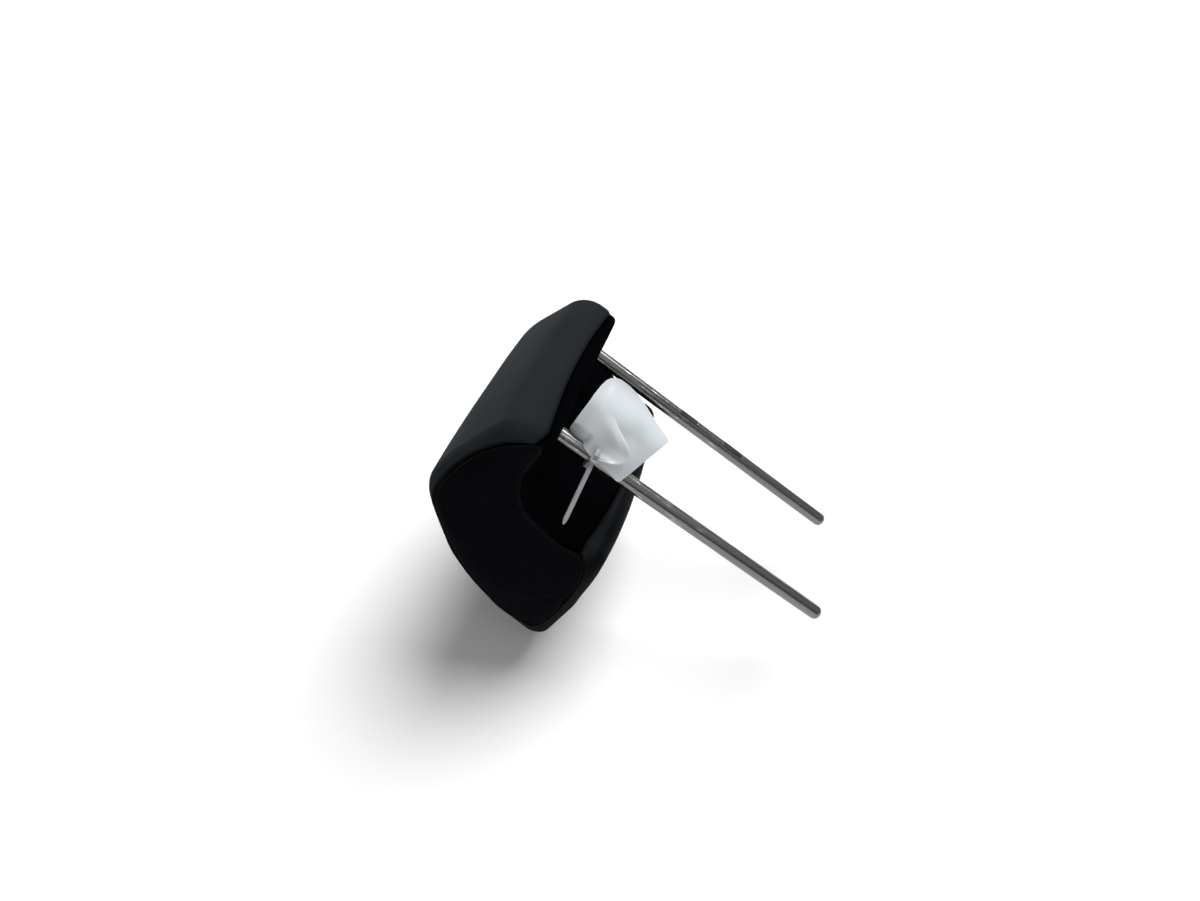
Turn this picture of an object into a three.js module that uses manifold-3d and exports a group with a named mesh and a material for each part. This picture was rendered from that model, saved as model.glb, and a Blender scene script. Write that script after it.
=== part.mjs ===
import * as THREE from 'three';
import { mergeVertices } from 'three/addons/utils/BufferGeometryUtils.js';
import Module from 'manifold-3d';

const wasm = await Module();
wasm.setup();

// Sizes in millimetres. +X is the sitter's left, +Y the rear, +Z up.
// The post tips stand at Z = 0 and the post axes at Y = 0.
const postDiameter = 12;
const postSpacing = 110;
const shelfZ = 264;            // underside of the cushion, where the posts come out
const bendRadius = 22;         // centre line of each bend in the bar
const armReach = 78;           // from the post axes forward to the crossbar
const barSides = 20;
const bendSteps = 5;
const tipFlatRadius = 2.5;
const tipHeight = 4.5;
const tipSteps = 4;
const notchDepth = 1.1;
const notchSpans = [[104, 125], [156, 175]];

// Cushion: side profile as corners [y, z, fillet radius], in order from the rear lower edge
const profileCorners = [
  [24, shelfZ, 5],
  [25, shelfZ + 36, 21],
  [-47, shelfZ + 60, 30],
  [-78, shelfZ + 61, 38],
  [-126, shelfZ + 15, 60],
  [-167, shelfZ - 52, 60],
  [-181, shelfZ - 106, 14],
  [-110, shelfZ - 102, 80],
  [-37, shelfZ - 85, 13],
  [-46, shelfZ - 42, 50],
  [-36, shelfZ, 28],
];
const arcStep = 20;            // degrees of fillet for each facet
const straightStep = 40;       // longest facet on a straight
// Line through the middle of the padding, towards which the sides are domed
const spine = [
  [6, shelfZ + 18], [-33, shelfZ + 27], [-82, shelfZ + 24],
  [-103, shelfZ - 19], [-108, shelfZ - 56], [-98, shelfZ - 76],
];
const sideStart = 83;          // at the rear: where the doming of each side begins
const sideDome = 14;           // and how far each side bulges past that
const domeRings = [0, 0.03, 0.09, 0.2, 0.4, 0.7];
const middleRings = [56, 34, 12];
const widening = 0.155;        // the lobe is this much wider than the rear
const wideningLength = 120;
// The lobe's rear lower edge is fuller in the middle, below topZ and behind frontY
const crown = { height: 6, topZ: shelfZ - 49, fade: 45, frontY: -150, rearY: -60 };
// In the recess the sides are rounded less, by this share. It sets in between two heights, and fades
// between two places on the shelf.
const recess = {
  crispness: 0.5, frontY: -75, lowZ: shelfZ - 88, highZ: shelfZ - 68, fadeFromY: -12, fadeToY: 14,
};

// Cover, foam and core
const coverThickness = 2;
const seamGap = 0.3;
const restGap = 0.3;           // between pieces that touch in the real thing
// Each side seam lies this share of the way from the outline to the spine, by the distance along the outline
const sideSeam = [
  [0, 0.3], [24, 0.6], [40, 0.66], [52, 0.52], [64, 0.36], [80, 0.26], [200, 0.27], [300, 0.33], [330, 0.4],
  [348, 0.53], [450, 0.48], [474, 0.45], [488, 0.17], [520, 0.2], [540, 0.28], [600, 0.25], [900, 0.25],
];
const lipY = 13;               // seam between the rear lip and the shelf
const lipTopZ = shelfZ + 10;   // rear seam, at the sides
const lipRise = 6;             // how much higher it runs in the middle
const innerSeamZ = shelfZ - 65; // seam between the lobe's inner face and the wrap, at the sides
const innerSeamDrop = 11;      // how much lower it runs in the middle
const postHoleGap = 0.8;
// Plastic beyond the bar's centre line: in front, at the sides, behind the bends, below and above
const core = { frontWall: 14, sideWall: 17, behindBend: 4, below: 12, above: 13, corner: 8 };
const screw = {
  fromPost: 21, fromCrossbar: [14, 36], shank: 3.5, head: 8, headHeight: 2.6, length: 19, point: 2,
  sunk: 0.4, slotLength: 7.2, slotWidth: 1, slotDepth: 1.2,
};

// Tag and cable tie, on the post at +X. The tag faces outward and to the rear.
const tieZ = shelfZ - 33;
const tagTurn = THREE.MathUtils.degToRad(49);   // turn of the tag's normal from +Y towards +X
const filmThickness = 0.5;
const tagLift = 7;             // from the post axis to the back of the film
// Outlines of the rear layer and of the flap, as corners [down the post, across]
const tagRear = [[-40, 7], [-10, 7], [0, -2], [26, -5], [39, 43], [-6, 60], [-40, 62]];
const tagFlap = [[-40, 12], [17, 12], [19, 20], [-10, 36], [-16, 62], [-40, 62]];
const tieHole = { near: 5, far: 9.6, edge: 0.6 };
const foldAt = -24.5;          // the film is folded over above the tie
const foldRadius = 2.6;
const flapReach = 46;
const flapRise = 4.5;          // how far the flap bulges
const flapFall = 3;            // and how much nearer it ends
const tieWidth = 3.6;
const tieThickness = 1.1;
const tieInnerRadius = 8.6;
const tieTailLength = 51;
const tieTailPoint = 4;
const tieTailTurn = THREE.MathUtils.degToRad(14.7);
const tieShift = -3.5;         // the tie sits a little above the tag's middle
const tieHead = { length: 6, width: 6, height: 5, across: -2 };

const overshoot = 12;          // how far cutting blocks reach past what they cut

// Solids through manifold
function weld(geometry) {
  const g = geometry.clone();
  g.deleteAttribute('normal');
  g.deleteAttribute('uv');
  return mergeVertices(g, 1e-4);
}

function solid(geometry) {
  const g = weld(geometry);
  const vertProperties = new Float32Array(g.attributes.position.array);
  const triVerts = new Uint32Array(g.index.array);
  return new wasm.Manifold(new wasm.Mesh({ numProp: 3, vertProperties, triVerts }));
}

function toGeometry(manifold) {
  const m = manifold.getMesh();
  const g = new THREE.BufferGeometry();
  g.setAttribute('position', new THREE.BufferAttribute(new Float32Array(m.vertProperties), 3));
  g.setIndex(new THREE.BufferAttribute(new Uint32Array(m.triVerts), 1));
  const flat = g.toNonIndexed();
  flat.computeVertexNormals();
  return flat;
}

function box(x0, x1, y0, y1, z0, z1) {
  const g = new THREE.BoxGeometry(x1 - x0, y1 - y0, z1 - z0);
  return solid(g.translate((x0 + x1) / 2, (y0 + y1) / 2, (z0 + z1) / 2));
}

function rod(radius, length, segments = 24) {
  return new THREE.CylinderGeometry(radius, radius, length, segments).rotateX(Math.PI / 2);
}

// A shape in X and Z, extruded along Y
function slabAlongY(shape, y0, y1) {
  const g = new THREE.ExtrudeGeometry(shape, { depth: y1 - y0, bevelEnabled: false, curveSegments: 12 });
  return solid(g.rotateX(Math.PI / 2).translate(0, y1, 0));
}

// Points that split the way from one point to the next into even pieces, without either end
function between(from, to, longest) {
  const pieces = Math.ceil(from.distanceTo(to) / longest);
  return Array.from({ length: Math.max(0, pieces - 1) }, (_, i) => from.clone().lerp(to, (i + 1) / pieces));
}

// Corners with fillets, sampled finely in the arcs and sparsely on the straights
function filletedLoop(corners) {
  const points = [];
  const count = corners.length;
  const add = (p) => {
    if (points.length > 0) points.push(...between(points[points.length - 1], p, straightStep));
    points.push(p);
  };
  corners.forEach(([y, z, radius], i) => {
    const here = new THREE.Vector2(y, z);
    const before = new THREE.Vector2(...corners[(i + count - 1) % count]).sub(here).normalize();
    const after = new THREE.Vector2(...corners[(i + 1) % count]).sub(here).normalize();
    const half = Math.acos(THREE.MathUtils.clamp(before.dot(after), -1, 1)) / 2;
    const centre = before.clone().add(after).normalize().multiplyScalar(radius / Math.sin(half)).add(here);
    const start = before.clone().multiplyScalar(radius / Math.tan(half)).add(here).sub(centre);
    const end = after.clone().multiplyScalar(radius / Math.tan(half)).add(here).sub(centre);
    const turn = Math.atan2(start.cross(end), start.dot(end));
    const steps = Math.max(1, Math.round(Math.abs(turn) / THREE.MathUtils.degToRad(arcStep)));
    for (let k = 0; k <= steps; k += 1) {
      add(start.clone().rotateAround(new THREE.Vector2(), (turn * k) / steps).add(centre));
    }
  });
  points.push(...between(points[points.length - 1], points[0], straightStep));
  return points;
}

// Outward normals of a closed loop
function loopNormals(loop) {
  const count = loop.length;
  const sign = THREE.ShapeUtils.isClockWise(loop) ? -1 : 1;
  return loop.map((p, i) => {
    const along = loop[(i + 1) % count].clone().sub(loop[(i + count - 1) % count]).normalize();
    return new THREE.Vector2(along.y * sign, -along.x * sign);
  });
}

function nearestOnSpine(point) {
  const from = new THREE.Vector3(point.x, point.y, 0);
  const candidates = spine.slice(1).map((end, i) => {
    const part = new THREE.Line3(new THREE.Vector3(...spine[i], 0), new THREE.Vector3(...end, 0));
    return part.closestPointToPoint(from, true, new THREE.Vector3());
  });
  candidates.sort((a, b) => a.distanceTo(from) - b.distanceTo(from));
  return new THREE.Vector2(candidates[0].x, candidates[0].y);
}

// How much wider than the rear the cushion is at a given y
function widthScale(y) {
  const t = THREE.MathUtils.clamp((profileCorners[0][0] - y) / wideningLength, 0, 1);
  return 1 + widening * Math.sin((t * Math.PI) / 2);
}

// Where the recess is, the sides stay crisper
function softnessAt(p) {
  const { smoothstep } = THREE.MathUtils;
  if (p.x < recess.frontY || p.y > shelfZ + restGap) return 1;
  const sets = smoothstep(p.y, recess.lowZ, recess.highZ);
  const fades = 1 - smoothstep(p.x, recess.fadeFromY, recess.fadeToY);
  return 1 - recess.crispness * sets * fades;
}

// The padded body: rings of the profile along X, crowned at the lobe and domed at both sides.
// A larger inset gives the inside of the cover and the outside of the foam.
function cushionBody(inset) {
  const loop = filletedLoop(profileCorners);
  const normals = loopNormals(loop);
  const spinePoints = loop.map(nearestOnSpine);
  const softness = loop.map(softnessAt);
  const crownWeight = loop.map((p) => (
    THREE.MathUtils.smoothstep(crown.topZ - p.y, 0, crown.fade)
      * THREE.MathUtils.smoothstep(p.x, crown.frontY, crown.rearY)
  ));
  const dome = domeRings.map((k) => ({ x: sideStart - inset + sideDome * Math.sqrt(1 - (1 - k) ** 2), k }));
  const half = [...dome.reverse(), ...middleRings.map((x) => ({ x, k: 0 }))];
  const stations = [...half.map(({ x, k }) => ({ x: -x, k })), ...half.slice().reverse()];
  const rings = stations.map(({ x, k }) => {
    const fullness = crown.height * Math.max(0, 1 - (x / sideStart) ** 2);
    return loop.map((p, i) => {
      const shifted = normals[i].clone().multiplyScalar(fullness * crownWeight[i] - inset).add(p);
      const inward = shifted.lerp(spinePoints[i], k * softness[i]);
      return new THREE.Vector3(x * widthScale(inward.x), inward.x, inward.y);
    });
  });
  // Every inset closes its sides with the same triangles, so that the layers keep their gaps
  const endShare = domeRings[domeRings.length - 1];
  const end = loop.map((p, i) => p.clone().lerp(spinePoints[i], endShare * softness[i]));
  return loft(rings, (p, i) => end[i]);
}

// Triangles that fill a ring, each in the ring's own order; layOut gives its points in the plane of the ring
function fillRing(ring, layOut) {
  const flat = ring.map(layOut);
  const triangles = THREE.ShapeUtils.triangulateShape(flat, []);
  const { area } = THREE.ShapeUtils;
  const sameWay = area(triangles[0].map((i) => flat[i])) * area(flat) > 0;
  return sameWay ? triangles : triangles.map(([a, b, c]) => [a, c, b]);
}

// Closed surface through rings of equal length
function loft(rings, layOut) {
  const count = rings[0].length;
  const index = [];
  for (let r = 0; r + 1 < rings.length; r += 1) {
    for (let i = 0; i < count; i += 1) {
      const a = r * count + i;
      const b = r * count + ((i + 1) % count);
      index.push(a, b, a + count, b, b + count, a + count);
    }
  }
  const last = (rings.length - 1) * count;
  fillRing(rings[0], layOut).forEach(([a, b, c]) => index.push(a, c, b));
  fillRing(rings[rings.length - 1], layOut).forEach(([a, b, c]) => index.push(a + last, b + last, c + last));
  const g = new THREE.BufferGeometry();
  g.setAttribute('position', new THREE.Float32BufferAttribute(rings.flat().flatMap((p) => p.toArray()), 3));
  g.setIndex(index);
  const body = solid(g);
  return body.volume() > 0 ? body : solid(flip(g));
}

function flip(geometry) {
  const g = geometry.clone();
  const order = g.index.array;
  for (let i = 0; i < order.length; i += 3) [order[i + 1], order[i + 2]] = [order[i + 2], order[i + 1]];
  return g;
}

// Quarter circle between two straights
class Bend extends THREE.Curve {
  constructor(start, corner, end) {
    super();
    this.centre = start.clone().add(end).sub(corner);
    this.fromCentre = start.clone().sub(this.centre);
    this.toEnd = end.clone().sub(this.centre);
  }

  getPoint(t, target = new THREE.Vector3()) {
    const angle = (t * Math.PI) / 2;
    return target.copy(this.centre)
      .addScaledVector(this.fromCentre, Math.cos(angle))
      .addScaledVector(this.toEnd, Math.sin(angle));
  }
}

// The bar: up one post, forward, across and back down the other post
const halfSpacing = postSpacing / 2;
const barZ = shelfZ + bendRadius;

function barPath() {
  const corners = [
    [-halfSpacing, 0, tipHeight], [-halfSpacing, 0, barZ], [-halfSpacing, -armReach, barZ],
    [halfSpacing, -armReach, barZ], [halfSpacing, 0, barZ], [halfSpacing, 0, tipHeight],
  ];
  const points = corners.map((p) => new THREE.Vector3(...p));
  const path = new THREE.CurvePath();
  let from = points[0];
  for (let i = 1; i + 1 < points.length; i += 1) {
    const corner = points[i];
    const before = points[i - 1].clone().sub(corner).normalize().multiplyScalar(bendRadius).add(corner);
    const after = points[i + 1].clone().sub(corner).normalize().multiplyScalar(bendRadius).add(corner);
    path.add(new THREE.LineCurve3(from, before));
    path.add(new Bend(before, corner, after));
    from = after;
  }
  path.add(new THREE.LineCurve3(from, points[points.length - 1]));
  return path;
}

// A round section swept along the bar, with its domed tips
function sweptBar(radius) {
  const stops = barPath().curves.flatMap((curve, i) => {
    const steps = curve instanceof Bend ? bendSteps : 1;
    const places = Array.from({ length: steps + 1 }, (_, k) => k / steps).slice(i === 0 ? 0 : 1);
    return places.map((t) => ({ at: curve.getPoint(t), along: curve.getTangent(t), width: radius }));
  });
  const tipStops = ({ at, along }, way) => Array.from({ length: tipSteps }, (_, i) => {
    const angle = (i / tipSteps) * (Math.PI / 2);
    const width = tipFlatRadius + (radius - tipFlatRadius) * Math.sin(angle);
    return { at: at.clone().addScaledVector(along, way * tipHeight * Math.cos(angle)), along, width };
  });
  const firstTip = tipStops(stops[0], -1);
  const lastTip = tipStops(stops[stops.length - 1], 1).reverse();
  const allStops = [...firstTip, ...stops, ...lastTip];
  let normal = new THREE.Vector3(1, 0, 0);
  const rings = allStops.map(({ at, along, width }, i) => {
    const before = allStops[Math.max(0, i - 1)].along;
    normal = normal.applyQuaternion(new THREE.Quaternion().setFromUnitVectors(before, along));
    const side = along.clone().cross(normal).normalize();
    return Array.from({ length: barSides }, (_, k) => {
      const angle = (2 * Math.PI * k) / barSides;
      const p = at.clone().addScaledVector(normal, width * Math.cos(angle));
      return p.addScaledVector(side, width * Math.sin(angle));
    });
  });
  return loft(rings, (p) => new THREE.Vector2(p.x, p.y));
}

const group = new THREE.Group();
function addPart(name, manifold, color, roughness, metalness = 0, extra = {}) {
  const material = new THREE.MeshStandardMaterial({ color, roughness, metalness, ...extra });
  material.name = name;
  const mesh = new THREE.Mesh(toGeometry(manifold), material);
  mesh.name = name;
  group.add(mesh);
}

// Bent steel bar with its two posts; the post at -X has the height notches on its rear
let bar = sweptBar(postDiameter / 2);
const notchFloorY = postDiameter / 2 - notchDepth;
notchSpans.forEach(([z0, z1]) => {
  const [x0, x1] = [-halfSpacing - postDiameter, -halfSpacing + postDiameter];
  bar = bar.subtract(box(x0, x1, notchFloorY, postDiameter, z0, z1));
});
addPart('post_frame', bar, 0x8d8f90, 0.3, 1);

// Core halves, clamped on the bar and screwed together from below
const barRoom = sweptBar(postDiameter / 2 + restGap);
const coreBox = {
  x: halfSpacing + core.sideWall,
  frontY: -armReach - core.frontWall,
  rearY: -bendRadius - core.behindBend,
  lowZ: barZ - core.below,
  highZ: barZ + core.above,
};

function coreHalf(z0, z1) {
  const { x, frontY, rearY } = coreBox;
  const c = core.corner;
  const s = new THREE.Shape();
  s.absarc(x - c, frontY + c, c, -Math.PI / 2, 0, false);
  s.absarc(x - c, rearY - c, c, 0, Math.PI / 2, false);
  s.absarc(-x + c, rearY - c, c, Math.PI / 2, Math.PI, false);
  s.absarc(-x + c, frontY + c, c, Math.PI, Math.PI * 1.5, false);
  const g = new THREE.ExtrudeGeometry(s, { depth: z1 - z0, bevelEnabled: false, curveSegments: 4 });
  return solid(g.translate(0, 0, z0));
}

// A screw, or with grow above zero the room for one, open at the underside of the core
function screwBody(x, y, grow = 0) {
  const headZ = coreBox.lowZ + screw.sunk;
  const startZ = grow > 0 ? coreBox.lowZ - overshoot : headZ;
  const headTop = headZ + screw.headHeight + grow;
  const tip = headZ + screw.length + grow;
  const profile = [
    [0, startZ], [screw.head / 2 + grow, startZ], [screw.head / 2 + grow, headTop],
    [screw.shank / 2 + grow, headTop], [screw.shank / 2 + grow, tip - screw.point], [0, tip],
  ].map((p) => new THREE.Vector2(...p));
  return solid(new THREE.LatheGeometry(profile, 12).rotateX(Math.PI / 2).translate(x, y, 0));
}

const screwX = halfSpacing - screw.fromPost;
const screwSpots = [-screwX, screwX].flatMap((x) => screw.fromCrossbar.map((gap) => [x, -armReach + gap]));
let coreLower = coreHalf(coreBox.lowZ, barZ - restGap / 2).subtract(barRoom);
let coreUpper = coreHalf(barZ + restGap / 2, coreBox.highZ).subtract(barRoom);
screwSpots.forEach(([x, y]) => {
  coreLower = coreLower.subtract(screwBody(x, y, restGap));
  coreUpper = coreUpper.subtract(screwBody(x, y, restGap));
});
addPart('core_lower', coreLower, 0x3a3c3e, 0.7);
addPart('core_upper', coreUpper, 0x3a3c3e, 0.7);
screwSpots.forEach(([x, y], i) => {
  const slot = box(
    x - screw.slotLength / 2, x + screw.slotLength / 2, y - screw.slotWidth / 2, y + screw.slotWidth / 2,
    coreBox.lowZ - overshoot, coreBox.lowZ + screw.sunk + screw.slotDepth,
  );
  addPart(`core_screw_${i + 1}`, screwBody(x, y).subtract(slot), 0x9a9a96, 0.4, 1);
});

// Foam pad with the pocket for the core and the channels for the bar
const pocket = box(
  -coreBox.x - restGap, coreBox.x + restGap,
  coreBox.frontY - restGap, coreBox.rearY + restGap,
  coreBox.lowZ - restGap, coreBox.highZ + restGap,
);
const foam = cushionBody(coverThickness + restGap).subtract(pocket).subtract(barRoom);
addPart('foam_pad', foam, 0xd8d2bc, 0.95);

// Cover panels, cut from one skin along the seams
const skin = cushionBody(0).subtract(cushionBody(coverThickness));
const reach = (sideStart + sideDome) * (1 + widening) + overshoot;
const fabric = [0x17191b, 0.95];

// Everything on both sides within the side seams, which lie between the outline and the spine
function sideZone(grow) {
  const loop = filletedLoop(profileCorners);
  let run = 0;
  const seam = loop.map((p, i) => {
    run += i > 0 ? p.distanceTo(loop[i - 1]) : 0;
    const next = Math.max(1, sideSeam.findIndex(([at]) => at > run));
    const [from, to] = [sideSeam[next - 1], sideSeam[next]];
    const share = THREE.MathUtils.mapLinear(run, from[0], to[0], from[1], to[1]);
    return p.clone().lerp(nearestOnSpine(p), share * softnessAt(p));
  });
  const normals = loopNormals(seam);
  const grown = seam.map((p, i) => p.addScaledVector(normals[i], grow));
  const g = new THREE.ExtrudeGeometry(new THREE.Shape(grown), { depth: reach * 2, bevelEnabled: false });
  // The shape's own plane is turned from XY to YZ
  g.applyMatrix4(new THREE.Matrix4().makeBasis(
    new THREE.Vector3(0, 1, 0), new THREE.Vector3(0, 0, 1), new THREE.Vector3(1, 0, 0),
  ));
  const middle = box(-sideStart, sideStart, -reach * 2, reach, 0, reach * 4);
  return solid(g.translate(-reach, 0, 0)).subtract(middle);
}

// Between two lines across the cushion, each arched in the middle
function archedShape(low, lowMiddle, high, highMiddle) {
  const s = new THREE.Shape();
  s.moveTo(-reach, low);
  s.quadraticCurveTo(0, 2 * lowMiddle - low, reach, low);
  s.lineTo(reach, high);
  s.quadraticCurveTo(0, 2 * highMiddle - high, -reach, high);
  return s;
}

const innerRegion = (grow) => {
  const low = innerSeamZ - grow;
  const high = shelfZ + overshoot;
  return slabAlongY(archedShape(low, low - innerSeamDrop, high, high), recess.frontY - grow, lipY + grow);
};
const lipRegion = (grow) => {
  const low = shelfZ - overshoot;
  const high = lipTopZ + grow;
  return slabAlongY(archedShape(low, low, high, high + lipRise), lipY + seamGap, lipY + reach);
};
const band = skin.subtract(sideZone(seamGap / 2));
const sides = skin.intersect(sideZone(-seamGap / 2));
let innerPanel = band.intersect(innerRegion(0));
[-halfSpacing, halfSpacing].forEach((x) => {
  const hole = rod(postDiameter / 2 + postHoleGap, postDiameter * 3).translate(x, 0, shelfZ);
  innerPanel = innerPanel.subtract(solid(hole));
});
addPart('cover_main_panel', band.subtract(innerRegion(seamGap)).subtract(lipRegion(seamGap)), ...fabric);
addPart('cover_side_right', sides.trimByPlane([-1, 0, 0], 0), ...fabric);
addPart('cover_side_left', sides.trimByPlane([1, 0, 0], 0), ...fabric);
addPart('cover_inner_panel', innerPanel, ...fabric);
addPart('cover_rear_lip', band.intersect(lipRegion(0)), ...fabric);

// Frame of the tag: along goes down the post, across goes away from it, out is the film's outer side
const out = new THREE.Vector3(Math.sin(tagTurn), Math.cos(tagTurn), 0);
const along = new THREE.Vector3(0, 0, -1);
const across = out.clone().cross(along).normalize();
const tagFrame = new THREE.Matrix4().makeBasis(along, across, out).setPosition(halfSpacing, 0, tieZ);

// Outline through [along, across] corners, each rounded by the same radius
function roundedShape(corners, radius) {
  return new THREE.Shape(filletedLoop(corners.map(([u, v]) => [u, v, radius])));
}

function prismOut(shape, from, to) {
  const g = new THREE.ExtrudeGeometry(shape, { depth: to - from, bevelEnabled: false });
  return solid(g.translate(0, 0, from));
}

// Film strip: a flat rear layer, folded over at the upper edge, and a flap that bulges in front of it
const flapSteps = 8;
const filmEnd = 42;

function filmStrip() {
  const outer = [];
  const inner = [];
  const put = (u, n, nu, nn) => {
    outer.push(new THREE.Vector2(u + (nu * filmThickness) / 2, n + (nn * filmThickness) / 2));
    inner.push(new THREE.Vector2(u - (nu * filmThickness) / 2, n - (nn * filmThickness) / 2));
  };
  put(filmEnd, tagLift, 0, -1);
  for (let i = 0; i <= flapSteps; i += 1) {
    const angle = -Math.PI / 2 - (i / flapSteps) * Math.PI;
    const nu = Math.cos(angle);
    const nn = Math.sin(angle);
    put(foldAt + foldRadius * nu, tagLift + foldRadius * (1 + nn), nu, nn);
  }
  for (let i = 1; i <= flapSteps; i += 1) {
    const t = i / flapSteps;
    const rise = flapRise * Math.sin(Math.PI * t) - flapFall * t;
    put(foldAt + flapReach * t, tagLift + 2 * foldRadius + rise, 0, 1);
  }
  return new THREE.Shape([...outer, ...inner.reverse()]);
}

const tagFront = 30;           // cutting height, past the flap
const farSide = Math.max(...tagRear.map(([, v]) => v)) + overshoot;
const nearSide = Math.min(...tagRear.map(([, v]) => v)) - overshoot;
const strip = new THREE.ExtrudeGeometry(filmStrip(), { depth: farSide - nearSide, bevelEnabled: false });
strip.applyMatrix4(new THREE.Matrix4().makeBasis(
  new THREE.Vector3(1, 0, 0), new THREE.Vector3(0, 0, 1), new THREE.Vector3(0, -1, 0),
));
const film = solid(strip.translate(0, farSide, 0));
const holeFrom = tieShift - tieWidth / 2 - tieHole.edge;
const holeTo = tieShift + tieWidth / 2 + tieHole.edge;
const { near, far } = tieHole;
const holeOutline = roundedShape([[holeFrom, near], [holeTo, near], [holeTo, far], [holeFrom, far]], 0.8);
const rearOutline = roundedShape(tagRear, 3);
const flapOutline = roundedShape(tagFlap, 2);
const layerSplit = tagLift + foldRadius * 0.4;
const tagSolid = film.intersect(prismOut(rearOutline, 0, layerSplit))
  .add(film.intersect(prismOut(flapOutline, layerSplit, tagFront)))
  .subtract(prismOut(holeOutline, 0, tagFront));
addPart('tag_sheet', solid(toGeometry(tagSolid).applyMatrix4(tagFrame)), 0xe4e8ec, 0.35, 0, {
  transparent: true, opacity: 0.8,
});

// Cable tie: the loop goes round the post and through the hole in the film, the tail hangs down the side
const loopShift = tieInnerRadius - postDiameter / 2 - restGap;
const loopShape = new THREE.Shape().absarc(0, 0, tieInnerRadius + tieThickness, 0, Math.PI * 2, false);
loopShape.holes.push(new THREE.Path().absarc(0, 0, tieInnerRadius, 0, Math.PI * 2, true));
const loopOptions = { depth: tieWidth, bevelEnabled: false, curveSegments: 16 };
const loopGeometry = new THREE.ExtrudeGeometry(loopShape, loopOptions)
  .rotateY(Math.PI / 2).translate(tieShift - tieWidth / 2, 0, loopShift);
const headFoot = loopShift + tieInnerRadius + tieThickness / 2;
const headMiddle = headFoot + tieHead.height / 2 - tieThickness;
const head = new THREE.BoxGeometry(tieHead.length, tieHead.width, tieHead.height)
  .translate(tieShift, tieHead.across, headMiddle);
const halfTie = tieWidth / 2;
const tailShape = new THREE.Shape([
  [-halfTie, 0], [halfTie, 0], [halfTie, tieTailPoint - tieTailLength],
  [halfTie / 2, -tieTailLength], [-halfTie / 2, -tieTailLength], [-halfTie, tieTailPoint - tieTailLength],
].map((p) => new THREE.Vector2(...p)));
const tail = new THREE.ExtrudeGeometry(tailShape, { depth: tieThickness, bevelEnabled: false })
  .rotateZ(tieTailTurn).translate(tieShift, tieHead.across - tieThickness, headMiddle);
const tie = solid(loopGeometry).add(solid(head)).add(solid(tail));
addPart('cable_tie', solid(toGeometry(tie).applyMatrix4(tagFrame)), 0xc9ccca, 0.5);

export default group;
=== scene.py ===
import math
import bmesh
import bpy
import numpy as np
from mathutils import Matrix, Quaternion, Vector


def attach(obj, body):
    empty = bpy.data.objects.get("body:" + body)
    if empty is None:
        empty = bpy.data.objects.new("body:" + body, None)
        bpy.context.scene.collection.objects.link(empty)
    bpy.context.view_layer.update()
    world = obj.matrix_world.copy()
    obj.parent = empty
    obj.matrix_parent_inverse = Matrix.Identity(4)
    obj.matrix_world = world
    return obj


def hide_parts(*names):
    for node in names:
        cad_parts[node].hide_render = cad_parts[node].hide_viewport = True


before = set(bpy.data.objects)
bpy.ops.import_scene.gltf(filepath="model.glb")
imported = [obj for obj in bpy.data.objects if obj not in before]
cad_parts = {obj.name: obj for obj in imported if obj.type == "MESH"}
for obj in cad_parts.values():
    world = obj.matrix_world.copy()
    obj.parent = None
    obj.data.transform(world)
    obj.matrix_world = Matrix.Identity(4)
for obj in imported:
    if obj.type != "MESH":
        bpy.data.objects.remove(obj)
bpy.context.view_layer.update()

# Camera: it stands above and behind the headrest, on its left side, and is rolled over, because the headrest
# lies on its front on a white table.
camera_place = Vector((0.43767, 0.34480, 0.33482))
camera_aim = Vector((-0.01689, -0.05059, 0.18661))
camera_data = bpy.data.cameras.new("camera")
camera_data.sensor_width = 36
camera_data.lens = 21
camera_data.shift_x = -25 / 1200
camera_data.shift_y = 14.5 / 1200
camera = bpy.data.objects.new("camera", camera_data)
level = (camera_aim - camera_place).to_track_quat("-Z", "Y")
camera.rotation_mode = "QUATERNION"
camera.rotation_quaternion = level @ Quaternion((0, 0, 1), math.radians(-54.83))
camera.location = camera_place
bpy.context.collection.objects.link(camera)
bpy.context.scene.camera = camera

# Table: a white sheet that the cushion lies on with its front, tilted as the headrest sees it. It keeps the soft
# grey shadow, shows white to the lens and to shiny surfaces, and can't be seen from below.
table_up = Vector((0, 0.816, 0.578))
table_touch = Vector((0, -0.182, 0.157))
table_gap = 0.001
table_glow = 0.07


def tidy_select():
    for o in bpy.context.selected_objects:
        o.select_set(False)


def own_material(piece, material):
    piece.data.materials.clear()
    piece.data.materials.append(material)


def new_material(name):
    material = bpy.data.materials.new(name)
    material.use_nodes = True
    return material, material.node_tree, material.node_tree.nodes["Principled BSDF"]


def fill_in(tree, node, values):
    # Each input gets a plain value, or a link where the value is another node's output
    for name, value in values.items():
        if isinstance(value, bpy.types.NodeSocket):
            tree.links.new(value, node.inputs[name])
        else:
            node.inputs[name].default_value = value


def add_node(tree, kind, values=None, **settings):
    node = tree.nodes.new("ShaderNode" + kind)
    for name, value in settings.items():
        setattr(node, name, value)
    fill_in(tree, node, values or {})
    return node


def maths(tree, operation, *values):
    return add_node(tree, "Math", dict(enumerate(values)), operation=operation).outputs["Value"]


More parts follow.
